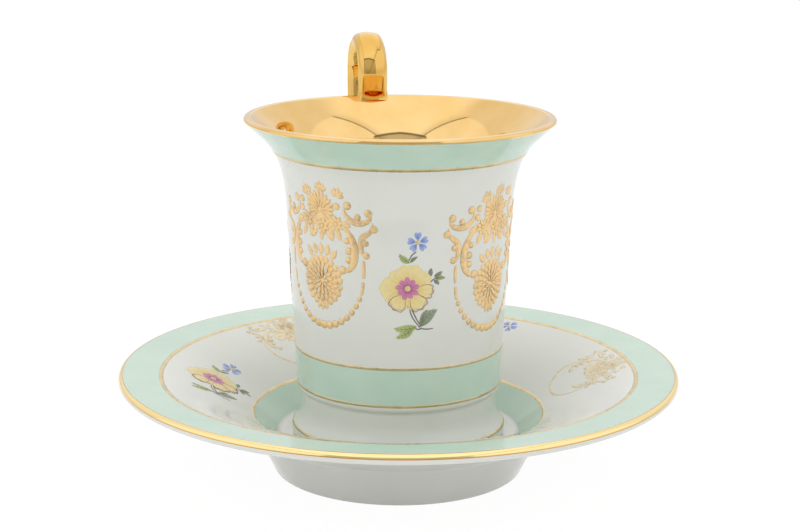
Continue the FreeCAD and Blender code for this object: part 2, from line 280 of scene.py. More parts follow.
def turned(name, line, around, close_rows=False):
    """Turns a line of (radius, height) once about the vertical axis.

    Each point goes to (r cos a, r sin a, height), where r is its radius with the wall's wobble, which
    fades out over the last 20 mm to the axis.
    """
    angle = np.arange(around) * 2 * np.pi / around
    radius, height = line[:, :1], line[:, 1:]
    radius = np.where(radius > 1e-6, radius + wobble(angle, height) * np.minimum(radius / 20, 1), 0)
    points = np.stack([radius * np.cos(angle), radius * np.sin(angle), height + 0 * angle], axis=-1)
    return surface(name, points, close_rows, merge=not close_rows)


def cup_outside():
    """The outside of the cup's wall from its foot's standing ring to the edge of the lip."""
    bead_top = (FOOT_RADIUS - 0.3 * FOOT_BOW, FOOT_EDGE)
    bead = bow((FOOT_RADIUS - FOOT_BOW, CUP_STAND), bead_top, 0.65 * (FOOT_EDGE - CUP_STAND))
    cove = bow(bead_top, (NECK_RADIUS, NECK_HEIGHT), FOOT_COVE, side=-1)
    step = bow((NECK_RADIUS, STEP_HEIGHT), (BASE_RADIUS, BASE_HEIGHT), STEP_CURVE)
    waist, lip = (WAIST_RADIUS, WAIST_HEIGHT), (LIP_RADIUS, LIP_HEIGHT - LIP_EDGE)
    trumpet = flare(waist, lip, LOWER_FLARE, FLARE_TURN)
    return np.vstack([bead, cove[1:], step, trumpet])


def cup_inside():
    """The inside of the cup from the edge of the lip down to the middle of its floor."""
    lift = CAVITY_FLOOR + CAVITY_CORNER - BASE_HEIGHT
    taper = (WAIST_RADIUS - BASE_RADIUS) / (WAIST_HEIGHT - BASE_HEIGHT)
    waist, lip = (WAIST_RADIUS - WALL, WAIST_HEIGHT), (LIP_RADIUS - LIP_THICKNESS, LIP_HEIGHT)
    trumpet = flare(waist, lip, LOWER_FLARE + WALL, FLARE_TURN + 0.3 * WALL)
    start = (BASE_RADIUS - WALL + lift * taper, CAVITY_FLOOR + CAVITY_CORNER)
    end = (start[0] - CAVITY_CORNER, CAVITY_FLOOR)
    corner = bow(start, end, CAVITY_CORNER * 1.0001, side=-1)
    return np.vstack([trumpet[::-1], corner, [(0, CAVITY_FLOOR)]])


def cup_line():
    """The whole section of the cup, from the middle of its foot's hollow round to the inside's floor."""
    ring = FOOT_RADIUS - FOOT_BOW - FOOT_RING
    under = [
        (0, HOLLOW_TOP, 0),
        (NECK_RADIUS - WALL, HOLLOW_TOP, HOLLOW_SOFT),
        (ring, CUP_STAND, FOOT_SOFT),
    ]
    outside, inside = plain(cup_outside()), plain(cup_inside())
    outside[0, 2] = FOOT_SOFT * 0.5
    lip = [(LIP_RADIUS, LIP_HEIGHT, LIP_SOFT)]
    inside[0, 2] = LIP_SOFT
    return divided(softened(np.vstack([under, outside, lip, inside])))


def flange_line():
    """The saucer's upper side from the border's inner edge to the edge of the well."""
    return bow((BORDER_RADIUS, BORDER_HEIGHT), (WELL_RADIUS, WELL_HEIGHT), FLANGE_BULGE, count=30)


def saucer_line():
    """The whole section of the saucer, from the middle of its underside round to its floor."""
    inner = STAND_RADIUS - STAND_RING
    under_border = (BORDER_RADIUS, BORDER_HEIGHT - FLANGE_THICKNESS)
    rim_low = (SAUCER_RADIUS - RIM_BOW, RIM_HEIGHT - RIM_THICKNESS)
    rim_high = (SAUCER_RADIUS - RIM_BOW, RIM_HEIGHT)
    rim_curve = ((RIM_THICKNESS / 2) ** 2 + RIM_BOW**2) / (2 * RIM_BOW)
    under = [
        (0, STAND_HOLLOW, 0),
        (inner, STAND_HOLLOW, UNDER_SOFT),
        (inner, 0, STAND_SOFT),
        (STAND_RADIUS, 0, STAND_SOFT),
        (*STAND_TOP, UNDER_SOFT),
        (*under_border, UNDER_SOFT),
    ]
    rim = plain(bow(rim_low, rim_high, rim_curve))
    flange = plain(flange_line())
    flange[-1, 2] = WELL_SOFT
    floor = [(FLOOR_RADIUS, CUP_STAND, WELL_SOFT), (0, CUP_STAND, 0)]
    return divided(softened(np.vstack([under, rim, flange, floor])))


def part(line, axis, start, end):
    """The part of a line between two radii (axis 0) or two heights (axis 1), in the line's own order."""
    rising = line if line[-1, axis] > line[0, axis] else line[::-1]
    low, high = min(start, end), max(start, end)
    inner = rising[(rising[:, axis] > low + 1e-3) & (rising[:, axis] < high - 1e-3), axis]
    places = np.concatenate([[low], inner, [high]])
    cut = np.column_stack([np.interp(places, rising[:, axis], rising[:, other]) for other in (0, 1)])
    return cut if rising is line else cut[::-1]


def film(line, lift, edge=0.5, sink=0.15, open_end=False):
    """The closed section of a thin layer on a line: lifted outwards, sunk inwards, thin at its edges.

    The outer side stands off by lift * (1 - (1 - d / edge)^2) at a distance d from the nearer edge, and
    all of lift beyond that. The line is cut finer within an edge of its ends. With open_end the far
    end keeps its lift, because it lies on the axis.
    """
    line = divided(line, 0.8)
    along = lengths(line)
    near = edge * np.linspace(0, 1, 5)
    places = np.clip(np.concatenate([along, near, along[-1] - near]), 0, along[-1])
    places = np.unique(np.round(places, 4)).clip(0, along[-1])
    line = np.column_stack([np.interp(places, along, line[:, axis]) for axis in (0, 1)])
    along = places
    slope = np.gradient(line, axis=0)
    normal = np.column_stack([slope[:, 1], -slope[:, 0]]) / np.hypot(*slope.T)[:, None]
    if open_end:
        normal[-1] = (0, 1)
    reach = along if open_end else np.minimum(along, along[-1] - along)
    rise = lift * (1 - (1 - np.clip(reach / edge, 0, 1)) ** 2)
    return np.vstack([line + normal * rise[:, None], (line - normal * sink)[::-1]])


def around_line(line, axis, place, width):
    """A short part of the line, width wide, centred where its radius or height is place."""
    at = part(line, axis, place - width, place + width)
    share = width / 2 / np.hypot(*np.diff(at, axis=0).T).sum()
    return part(line, axis, place - 2 * width * share, place + 2 * width * share)


# The cup and the saucer

outside = cup_outside()
inside = cup_inside()
flange = flange_line()
well_wall = np.array([(WELL_RADIUS, WELL_HEIGHT), (FLOOR_RADIUS, CUP_STAND)])
border = np.array([(SAUCER_RADIUS - RIM_BOW, RIM_HEIGHT), (BORDER_RADIUS, BORDER_HEIGHT)])

cup_body = turned("cup_body", cup_line(), AROUND_CUP)
saucer_body = turned("saucer_body", saucer_line(), AROUND_SAUCER)
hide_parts("cup")
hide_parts("saucer")


def strap_section(width, depth, corner, crown):
    """Rectangles with round corners, one for each row of width, depth and corner, as (x, y) rings.

    Each quarter is an arc of the corner's radius, and the flats between the arcs swell by the crown.
    """
    quarter = np.linspace(0, np.pi / 2, 7)
    flat = np.linspace(0, 1, 7)[1:-1]
    rings = []
    for turn in range(4):
        side_x, side_y = [(1, 1), (-1, 1), (-1, -1), (1, -1)][turn]
        angle = quarter + turn * np.pi / 2
        x = side_x * (width / 2 - corner)[:, None] + corner[:, None] * np.cos(angle)
        y = side_y * (depth / 2 - corner)[:, None] + corner[:, None] * np.sin(angle)
        rings.append(np.stack([x, y], axis=-1))
    whole = []
    for turn in range(4):
        start, end = rings[turn][:, -1:], rings[(turn + 1) % 4][:, :1]
        out = np.array([math.cos((turn + 1) * np.pi / 2), math.sin((turn + 1) * np.pi / 2)])
        swell = crown * 4 * flat * (1 - flat)
        whole += [rings[turn], start + (end - start) * flat[None, :, None] + out * swell[None, :, None]]
    return np.concatenate(whole, axis=1)


def handle_path():
    """The handle's middle line as (y, z), its root and joint included, evenly spaced.

    It leaves the lip along the flare, turns upright, goes over in a half circle, comes down on an arc
    of BACK_SWEEP, and an arc of LOWER_BEND brings it level into the wall. The large arc turns by the
    angle whose sine is (LOOP_HEIGHT - LOWER_BEND - JOINT_HEIGHT) / (BACK_SWEEP - LOWER_BEND).
    """
    leg = np.array([LEG_REACH, LIP_HEIGHT + LEG_RISE])
    share = np.linspace(0, 1, 12)[:, None]
    out = np.array([math.sin(ROOT_LEAN), math.cos(ROOT_LEAN)]) * ROOT_LENGTH
    up = np.array([0, 1]) * ROOT_LENGTH
    rise = (2 * share**3 - 3 * share**2 + 1) * np.array(ROOT) + (share**3 - 2 * share**2 + share) * out
    rise = rise + (3 * share**2 - 2 * share**3) * leg + (share**3 - share**2) * up

    top = np.linspace(np.pi, 0, 40)
    middle = LEG_REACH + LOOP_RADIUS
    over = [middle + LOOP_RADIUS * np.cos(top), LOOP_HEIGHT + LOOP_RADIUS * np.sin(top)]
    sweep = math.asin((LOOP_HEIGHT - LOWER_BEND - JOINT_HEIGHT) / (BACK_SWEEP - LOWER_BEND))
    turn = np.linspace(0, sweep, 40)
    centre = LEG_REACH + 2 * LOOP_RADIUS - BACK_SWEEP
    back = [centre + BACK_SWEEP * np.cos(turn), LOOP_HEIGHT - BACK_SWEEP * np.sin(turn)]
    over, back = np.column_stack(over), np.column_stack(back)
    turn = np.linspace(sweep, np.pi / 2, 16)
    middle = back[-1] - LOWER_BEND * np.array([math.cos(sweep), -math.sin(sweep)])
    low = middle + LOWER_BEND * np.column_stack([np.cos(turn), -np.sin(turn)])
    end = [(BASE_RADIUS + 0.7, JOINT_HEIGHT)]
    return divided(np.vstack([rise, over, back[1:], low[1:], end]), 0.7)


def make_handle():
    """The strap handle: a rectangle with round corners carried along the path.

    It widens and thins into the lip over its first stretch, and swells by the square of the distance
    where it meets the wall.
    """
    path = handle_path()
    along = lengths(path)
    heading = np.gradient(path, axis=0)
    heading /= np.hypot(*heading.T)[:, None]
    rooting = np.clip(1 - along / ROOT_LENGTH, 0, 1) ** 1.2
    landing = np.clip(1 - (along[-1] - along) / JOINT_LENGTH, 0, 1) ** 2
    width = STRAP_WIDTH + ROOT_SPREAD * rooting + JOINT_SPREAD * landing
    depth = STRAP_DEPTH - ROOT_THINNING * rooting + JOINT_SPREAD * landing
    corner = np.minimum(STRAP_CORNER, 0.44 * depth)
    corner[0] = corner[-1] = 0
    width[0] = width[-1] = depth[0] = depth[-1] = 0
    ring = strap_section(width, depth, corner, STRAP_CROWN)
    ring[[0, -1]] = 0
    normal = np.column_stack([heading[:, 1], -heading[:, 0]])
    points = np.dstack([
        ring[..., 0],
        path[:, None, 0] + ring[..., 1] * normal[:, None, 0],
        path[:, None, 1] + ring[..., 1] * normal[:, None, 1],
    ])
    return surface("handle", points, merge=True)


handle = make_handle()

# Layers on the porcelain, each a closed ring that stands a few hundredths of a millimetre proud

GOLD_FILM = 0.05
ENAMEL_FILM = 0.03
LINE_FILM = 0.11
RIM_GILT = 1.5
GILT_EDGE = LIP_HEIGHT - LIP_EDGE - 0.35
UPPER_LINE = CUP_STAND + 80.1
MIDDLE_LINE = CUP_STAND + 25.9
LOWER_LINE = CUP_STAND + 15.5
FOOT_LINE = CUP_STAND + 3.5

lip = [(LIP_RADIUS, LIP_HEIGHT, LIP_SOFT)]
inner = plain(inside)
inner[0, 2] = LIP_SOFT
outer = plain(part(outside, 1, GILT_EDGE, LIP_HEIGHT - LIP_EDGE))
lining_line = softened(np.vstack([outer, lip, inner]))
section = saucer_line()
rim_line = section[(section[:, 0] > SAUCER_RADIUS - RIM_GILT) & (section[:, 1] > RIM_HEIGHT - RIM_GILT)]

lining = turned("gilt_lining", film(lining_line, GOLD_FILM, open_end=True), AROUND_CUP)
rim_film = film(rim_line, GOLD_FILM, edge=0.3)
rim_gilding = turned("gilt_saucer_rim", rim_film, AROUND_SAUCER, close_rows=True)

bands = {
    "mint_lip_band": (part(outside, 1, UPPER_LINE, GILT_EDGE + 0.3), AROUND_CUP),
    "mint_base_band": (part(outside, 1, LOWER_LINE, MIDDLE_LINE), AROUND_CUP),
    "mint_saucer_border": (part(border, 0, SAUCER_RADIUS - 1.25, BORDER_RADIUS), AROUND_SAUCER),
    "mint_saucer_well": (part(well_wall, 0, WELL_RADIUS, FLOOR_RADIUS), AROUND_SAUCER),
}
mint_bands = []
for name, (line, around) in bands.items():
    mint_bands.append(turned(name, film(line, ENAMEL_FILM), around, close_rows=True))

floor_edge = [(FLOOR_RADIUS, CUP_STAND), (FLOOR_RADIUS - 3, CUP_STAND)]
whole_flange = np.vstack([border, flange[1:], floor_edge])
lines = {
    "gilt_upper_line": (outside, 1, UPPER_LINE, 1.15, AROUND_CUP),
    "gilt_middle_line": (outside, 1, MIDDLE_LINE, 0.8, AROUND_CUP),
    "gilt_lower_line": (outside, 1, LOWER_LINE, 0.8, AROUND_CUP),
    "gilt_foot_line": (outside, 1, FOOT_LINE, 0.9, AROUND_CUP),
    "gilt_border_line": (whole_flange, 0, BORDER_RADIUS, 1.35, AROUND_SAUCER),
    "gilt_well_line": (whole_flange, 0, WELL_RADIUS, 1.0, AROUND_SAUCER),
    "gilt_floor_line": (whole_flange, 0, FLOOR_RADIUS, 0.75, AROUND_SAUCER),
}
gilt_lines = []
for name, (line, axis, place, width, around) in lines.items():
    short = film(around_line(line, axis, place, width), LINE_FILM, edge=width / 2)
    gilt_lines.append(turned(name, short, around, close_rows=True))


# Ornament: raised gilding and painted flowers, laid on the surface in (across, up, lift) millimetres

CAMERA_TURN = -11.5
UNROLLED = 30.0
DROP_SCALE = 1.12


def smooth_path(points, share):
    """Points on a curve through the given points, at shares of its length.

    Each stretch is the cubic that passes its two ends with slopes half the step between neighbours.
    """
    points = np.array(points, float)
    padded = np.vstack([2 * points[0] - points[1], points, 2 * points[-1] - points[-2]])
    t = np.linspace(0, 1, 9)[:-1, None]
    pieces = []
    for before, start, end, after in zip(padded, padded[1:], padded[2:], padded[3:]):
        leave, arrive = (end - before) / 2, (after - start) / 2
        cubic = (2 * t**3 - 3 * t**2 + 1) * start + (t**3 - 2 * t**2 + t) * leave
        pieces.append(cubic + (3 * t**2 - 2 * t**3) * end + (t**3 - t**2) * arrive)
    fine = np.vstack(pieces + [points[-1:]])
    along = lengths(fine)
    return np.column_stack([np.interp(share * along[-1], along, fine[:, axis]) for axis in (0, 1)])


def bead_shape(t):
    """An ellipse: 2 sqrt(t (1 - t))."""
    return 2 * np.sqrt(t * (1 - t))


def leaf_shape(t):
    """A leaf with its belly a little nearer its foot: the sine of pi t^0.85, to the power 0.85."""
    return np.sin(np.pi * t**0.85) ** 0.85


def petal_shape(t):
    """A petal, narrow at its foot and broad near its tip: the sine of pi t^1.7, to the power 0.6."""
    return np.sin(np.pi * t**1.7) ** 0.6


def bar_shape(t):
    """A bar of one width with round ends: the root of 1 - |2 t - 1|^7."""
    return np.sqrt(1 - np.abs(2 * t - 1) ** 7)


def swell_shape(t):
    """A stroke that swells past its middle and ends round: the sine of pi t^1.2, to the power 0.55."""
    return np.sin(np.pi * t**1.2) ** 0.55


# A stroke's ring: how far each point is off the middle, and how high, as shares of width and rise
RING_OFF = np.array([1.0, 0.8, 0.0, -0.8, -1.0, 0.0])
RING_UP = np.array([0.0, 0.85, 1.0, 0.85, 0.0, 0.0])
RING_SINK = np.array([0.03, 0.0, 0.0, 0.0, 0.03, 0.12])


def stroke(path, width, shape, rise=0.1, level=0.02, rows=9):
    """A closed flat bar along a path, as rows by ring points by (across, up, lift).

    With the shape's share s of the half width, a ring's points stand off the path to the left by
    s * width * RING_OFF, and are lifted by sqrt(s) * (rise * RING_UP + level) - RING_SINK.
    """
    t = (1 - np.cos(np.pi * np.linspace(0, 1, rows))) / 2
    spot = smooth_path(path, t)
    heading = np.gradient(spot, axis=0)
    heading /= np.hypot(*heading.T)[:, None]
    share = shape(t)
    share[[0, -1]] = 0
    off = share[:, None] * width * RING_OFF
    lift = np.sqrt(share)[:, None] * (rise * RING_UP + level) - RING_SINK
    lift[[0, -1]] = 0
    return np.dstack([
        spot[:, None, 0] - off * heading[:, None, 1],
        spot[:, None, 1] + off * heading[:, None, 0],
        lift,
    ])


def bead(centre, size, rise=0.12, level=0.02, stretch=1.0, turn=0.0):
    """A flat round drop at a centre, size its radius along the turn and size * stretch across it."""
    reach = np.array([math.cos(turn), math.sin(turn)]) * size
    return stroke([centre - reach, centre + reach], size * stretch, bead_shape, rise, level, 7)


def ray(centre, angle, start, end, width, shape=leaf_shape, rise=0.08, level=0.02):
    """A leaf or petal that points away from a centre, from one distance to another."""
    out = np.array([math.cos(angle), math.sin(angle)])
    return stroke([centre + out * start, centre + out * end], width, shape, rise, level, 7)


def mirrored(path):
    """The path on the other side of the upright line through zero."""
    return [(-x, y) for x, y in path]


def scrolls():
    """The gilded scrollwork of one cartouche, drawn for the right side and mirrored.

    Three scrolls on each side end in round drops, as in any rococo frame.
    """
    made = []
    upper = [(8.3, 79.4), (7.9, 77.9), (8.9, 76.2), (10.6, 75.2), (12.8, 75.1), (14.7, 76.0), (15.2, 77.4)]
    outer = [(15.6, 75.4), (15.2, 73.4), (14.2, 72.3), (12.8, 71.2), (12.4, 69), (12.8, 67), (13.6, 66.4)]
    inner = [(6.2, 73.9), (8.3, 72.9), (9.9, 70.6), (10.6, 67.5), (10.3, 64.4), (8.9, 62.2), (7.2, 61.8)]
    drops = [
        (8.9, 79.5, 1.0), (14.5, 77.8, 0.95), (11.6, 76.6, 0.8), (16.0, 73.6, 0.85), (13.7, 69.8, 0.75),
        (13.8, 66.5, 0.85), (7.0, 62.0, 1.05), (8.9, 67.3, 0.9), (8.8, 64.9, 0.85), (8.4, 70.0, 0.75),
    ]
    for side in (1, -1):
        for path, width in ((upper, 0.86), (outer, 0.86), (inner, 1.15)):
            path = path if side > 0 else mirrored(path)
            made.append(stroke(path, width, swell_shape, 0.14, 0.02, 25))
        for x, y, size in drops:
            made.append(bead(np.array([side * x, y]), size * DROP_SCALE, 0.17, 0.03))
    return made


def frame_strings():
    """The cartouche's lower frame: thin dashes at the sides, then drops that grow to the bottom."""
    made = []
    upper = [(13.0, 65.2), (13.1, 62.6), (13.0, 60.2)]
    lower = [(12.9, 59.4), (12.7, 57.6), (12.3, 55.6)]
    for side in (1, -1):
        for path in (upper, lower):
            path = path if side > 0 else mirrored(path)
            made.append(stroke(path, 0.46, bar_shape, 0.1, 0.02, 13))
        for place in np.linspace(0, 1, 8):
            angle = math.radians(-24 - 66 * place)
            spot = np.array([side * 12.9 * math.cos(angle), 60.5 + 14.4 * math.sin(angle)])
            if side < 0 and place == 1:
                continue
            size = (0.72 + 0.42 * place) * DROP_SCALE
            lean = math.atan2(1.1 * math.cos(angle), -math.sin(angle))
            made.append(bead(spot, size, 0.14, 0.02, 0.9, lean))
    return made


def rosette(centre, count, start, end, width, turn=0.0, level=0.02, shape=leaf_shape):
    """Leaves or petals spaced evenly round a centre."""
    angles = turn + np.arange(count) * 2 * np.pi / count
    return [ray(centre, angle, start, end, width, shape, 0.08, level) for angle in angles]


def medallion():
    """The many-petalled flower head in the middle of the frame, with leaves over and under it."""
    heart = np.array([0.0, 58.3])
    made = [bead(heart, 5.6, 0.03, 0.0)]
    made += rosette(heart, 21, 4.4, 7.1, 0.98, 0.4, 0.01, petal_shape)
    made += rosette(heart, 19, 3.2, 5.7, 0.62, 0.1, 0.09, petal_shape)
    made += rosette(heart, 15, 1.8, 4.1, 0.5, 0.2, 0.15, petal_shape)
    made += rosette(heart, 9, 0.4, 2.4, 0.42, 0.0, 0.2, petal_shape)
    for angle in (-2.0, -1.57, -1.14):
        made.append(ray(heart + [0, -4.0], angle, 1.6, 4.2, 0.8))
    tips = [(-3.5, 64.9, 2.2), (-1.8, 65.7, 1.8), (0.1, 65.9, 1.57), (2.0, 65.7, 1.3), (3.7, 64.9, 0.95)]
    for x, y, angle in tips:
        made.append(ray(np.array([x, y]), angle, -0.5, 2.8, 0.95))
    return made


def crest():
    """The flowers on top: a large head, three tufts over it, and rosettes and leaves under it."""
    heart = np.array([0.3, 77.6])
    made = [bead(heart + [0, 0.5], 4.3, 0.04, 0.0), bead(np.array([0.6, 74.4]), 6.0, 0.04, 0.0, 0.42)]
    for place in np.linspace(-1, 1, 15):
        length = 5.4 - 0.9 * abs(place)
        made.append(ray(heart, math.pi / 2 - place * 2.1, 1.4, length, 0.6, petal_shape, 0.1, 0.03))
    for place in np.linspace(-1, 1, 11):
        made.append(ray(heart, math.pi / 2 - place * 2.3, 0.5, 3.7, 0.3, leaf_shape, 0.1, 0.1))
    for x, y, lean in ((-3.6, 81.6, 0.4), (1.3, 82.8, 0.0), (6.0, 81.7, -0.4)):
        for fan in (-1.15, -0.6, 0.0, 0.6, 1.15):
            length = 2.9 - 0.5 * abs(fan)
            made.append(ray(np.array([x, y]), math.pi / 2 + lean + fan, 0.0, length, 0.62))
    for x, y in ((-4.7, 74.4), (0.9, 73.3), (5.4, 74.2)):
        made += rosette(np.array([x, y]), 8, 0.4, 2.5, 0.62, 0.3 + x, 0.07)
        made.append(bead(np.array([x, y]), 0.6, 0.1, 0.12))
    leaves = (
        (-1.4, 71.7, -2.3), (0.6, 71.8, -1.57), (2.6, 71.7, -0.9), (5.8, 72.2, -1.2), (-5.4, 72.2, -2.0),
        (-2.9, 72.4, -1.9), (3.9, 72.2, -1.4), (-7.0, 74.6, -2.7), (7.4, 74.8, -0.4),
    )
    for x, y, angle in leaves:
        made.append(ray(np.array([x, y]), angle, -0.6, 2.7, 0.85))
    for x, y in ((-6.3, 79.6), (-6.6, 77.2), (5.8, 79.0), (-3.2, 80.4)):
        made.append(bead(np.array([x, y]), 0.95, 0.12, 0.04))
    return made


def cartouche():
    """One whole gilded cartouche, about 33 mm across and 40 mm up, with heights as on the cup."""
    return scrolls() + frame_strings() + medallion() + crest()


def saucer_cartouche():
    """The saucer's cartouche: crest and scrolls over an open loop, which is one thin line."""
    made = scrolls() + crest()
    turns = np.radians(np.linspace(5, -185, 17))
    loop = [(12.8 * math.cos(turn), 64 + 11.5 * math.sin(turn)) for turn in turns]
    made.append(stroke(loop, 0.5, bar_shape, 0.1, 0.02, 49))
    for x, y in ((0.3, 69.2), (-4.2, 69.8), (4.8, 69.8)):
        made += rosette(np.array([x, y]), 9, 0.3, 3.1, 0.8, 0.2 + x, 0.04)
    return made


def petal(angle, tip, width, level):
    """A broad painted petal with three lobes, as three strokes side by side."""
    fans = ((-0.26, 0.93), (0.26, 0.93), (0.0, 1.0))
    zero = np.zeros(2)
    return [
        ray(zero, angle + fan, 0.8, tip * reach, width * 0.36, petal_shape, 0.012, level + 0.002 * place)
        for place, (fan, reach) in enumerate(fans)
    ]


def petal_outline(angle, tip, width, level):
    """The fine brush line round a three-lobed petal, from its foot round the tip and back.

    At the share p from -1 to 1 across the petal it reaches the tip's distance times
    (1.02 - 0.3 |p|^5) (0.975 + 0.03 cos 3 pi p).
    """
    half = math.atan2(width / 2, tip * 0.72)
    path = []
    for place in np.linspace(-1, 1, 15):
        reach = tip * (1.02 - 0.3 * abs(place) ** 5) * (0.975 + 0.03 * math.cos(3 * math.pi * place))
        path.append((reach * math.cos(angle + half * place), reach * math.sin(angle + half * place)))
    inner = tip * 0.42
    first = (inner * math.cos(angle - half * 0.8), inner * math.sin(angle - half * 0.8))
    last = (inner * math.cos(angle + half * 0.8), inner * math.sin(angle + half * 0.8))
    return stroke([first] + path + [last], 0.1, bar_shape, 0.02, level, 49)


def leaf(start, end, width, bend):
    """A painted leaf from its foot to its tip, bent sideways at its middle, with midrib and veins."""
    start, end = np.array(start), np.array(end)
    side = np.array([-(end - start)[1], (end - start)[0]]) / np.hypot(*(end - start))
    middle = (start + end) / 2 + side * bend
    blade = [stroke([start, middle, end], width / 2, leaf_shape, 0.012, 0.03, 13)]
    veins = [stroke([start, middle, end], 0.1, leaf_shape, 0.02, 0.042, 13)]
    for place in (0.25, 0.42, 0.6, 0.76):
        foot = start + (end - start) * place + side * bend * (1 - (2 * place - 1) ** 2)
        for hand in (1, -1):
            reach = hand * width * 0.4 * math.sin(math.pi * place**0.85)
            tip = foot + (end - start) * 0.16 + side * reach
            veins.append(stroke([foot, tip], 0.07, leaf_shape, 0.02, 0.042, 7))
    return blade, veins


def sprig():
    """The strokes of one painted sprig, by colour, round the middle of its yellow flower."""
    made = {name: [] for name in ("yellow", "rim", "pink", "heart", "blue", "green", "lime", "dark")}
    petals = [
        (-150, 6.8, 4.6), (135, 6.4, 5.0), (29, 7.0, 4.8), (180, 7.6, 5.0), (69, 6.8, 5.0),
        (100, 6.5, 4.6), (-9, 6.9, 3.8), (-122, 6.7, 4.6), (-54, 6.8, 4.8),
    ]
    for place, (angle, tip, width) in enumerate(petals):
        made["yellow"] += petal(math.radians(angle), tip, width, 0.03 + 0.008 * place)
    for angle, tip, width in petals[-3:]:
        made["rim"].append(petal_outline(math.radians(angle), tip, width, 0.115))
    zero = np.zeros(2)
    for place in range(9):
        angle = math.radians(12 + 40 * place)
        tip = 3.3 - 0.3 * (place % 2)
        made["pink"].append(ray(zero, angle, 0.5, tip, 0.72, petal_shape, 0.012, 0.12))
        made["pink"].append(ray(zero, angle + 0.35, 0.5, 2.4, 0.3, petal_shape, 0.012, 0.13))
    made["heart"].append(bead(zero, 0.85, 0.03, 0.14))
    centre = np.array([2.5, 12.4])
    for place in range(5):
        angle = math.radians(90 + 72 * place + (place % 2) * 8)
        for fan in (-0.2, 0.2):
            made["blue"].append(ray(centre, angle + fan, 0.5, 2.8, 0.55, petal_shape, 0.012, 0.03))
        made["dark"].append(ray(centre, angle + 0.1, 0.9, 2.2, 0.07, leaf_shape, 0.01, 0.045))
    made["heart"].append(bead(centre, 0.62, 0.03, 0.05))
    stems = [
        [(0.6, -5.6), (1.4, -7.9), (3.6, -10.9)], [(1.0, -5.2), (2.2, -7.8), (3.9, -10.7)],
        [(3.4, -10.9), (5.2, -11.2), (7.2, -11.1)], [(3.7, -10.8), (3.2, -11.2), (2.2, -10.9)],
        [(6.0, 1.6), (7.4, 2.6), (9.0, 2.7)], [(2.2, 9.9), (1.0, 9.0), (0.2, 7.4)],
    ]
    for path in stems:
        made["dark"].append(stroke(path, 0.17, bar_shape, 0.02, 0.035, 13))
    leaves = [
        ((3.4, -10.4), (8.2, -5.9), 3.0, 0.5, "green"), ((3.9, -9.4), (5.4, -5.8), 1.5, 0.3, "green"),
        ((2.6, -10.4), (-3.7, -10.9), 2.4, 0.5, "lime"), ((1.7, -10.9), (-3.1, -13.6), 2.2, 0.3, "lime"),
        ((0.5, 6.9), (-2.3, 9.4), 1.7, 0.3, "lime"), ((0.6, 7.0), (2.6, 8.6), 1.0, 0.2, "green"),
        ((6.2, 3.2), (6.2, 5.4), 1.3, 0.2, "green"), ((7.0, 3.0), (9.2, 4.4), 1.3, -0.2, "green"),
        ((7.4, 2.4), (10.2, 2.4), 1.3, 0.2, "lime"), ((6.9, 2.0), (8.4, 0.7), 1.2, 0.2, "green"),
    ]
    for start, end, width, bend, tone in leaves:
        blade, veins = leaf(start, end, width, bend)
        made[tone] += blade
        made["dark"] += veins
    return made


def on_cup(turn, up, scale=1.0):
    """Maps (across, up, lift) onto the cup's wall at a photograph azimuth in degrees.

    The angle grows by across / UNROLLED, the height is the motif's own, both scaled, raised by up, and
    the lift follows the wall's normal.
    """
    line = divided(cup_outside(), 0.4)
    line = line[np.searchsorted(line[:, 1], BASE_HEIGHT + 1) :]
    slope = np.gradient(line, axis=0)
    normal = np.column_stack([slope[:, 1], -slope[:, 0]]) / np.hypot(*slope.T)[:, None]

    def place(across, height, lift):
        height = height * scale + up
        angle = math.radians(CAMERA_TURN - 90 + turn) + across * scale / UNROLLED
        radius = np.interp(height, line[:, 1], line[:, 0])
        out, rise = (np.interp(height, line[:, 1], normal[:, axis]) for axis in (0, 1))
        radius = radius + wobble(angle, height) * np.minimum(radius / 20, 1) + lift * out
        return radius * np.cos(angle), radius * np.sin(angle), height + lift * rise

    return place


def on_saucer(distance, turn, heading, scale, origin=0.0):
    """Maps (across, up, lift) onto the saucer's flange.

    The motif's origin is at a distance from the axis at angle turn, its up points along the heading,
    both in degrees from the photograph's right, and its across and up lengths are scaled.
    """
    line = divided(flange_line()[::-1], 0.3)
    slope = np.gradient(line, axis=0)
    normal = np.column_stack([-slope[:, 1], slope[:, 0]]) / np.hypot(*slope.T)[:, None]
    spot = math.radians(turn + CAMERA_TURN)
    spot = distance * np.array([math.cos(spot), math.sin(spot)])
    way = math.radians(heading + CAMERA_TURN)
    right, ahead = np.array([math.sin(way), -math.cos(way)]), np.array([math.cos(way), math.sin(way)])

    def place(across, up, lift):
        across, up = across * scale[0], (up - origin) * scale[1]
        x = spot[0] + across * right[0] + up * ahead[0]
        y = spot[1] + across * right[1] + up * ahead[1]
        angle, radius = np.arctan2(y, x), np.hypot(x, y)
        true = radius - wobble(angle, 0 * radius + WELL_HEIGHT) * np.minimum(radius / 20, 1)
        height = np.interp(true, line[:, 0], line[:, 1])
        out, rise = (np.interp(true, line[:, 0], normal[:, axis]) for axis in (0, 1))
        return x + lift * out * np.cos(angle), y + lift * out * np.sin(angle), height + lift * rise

    return place


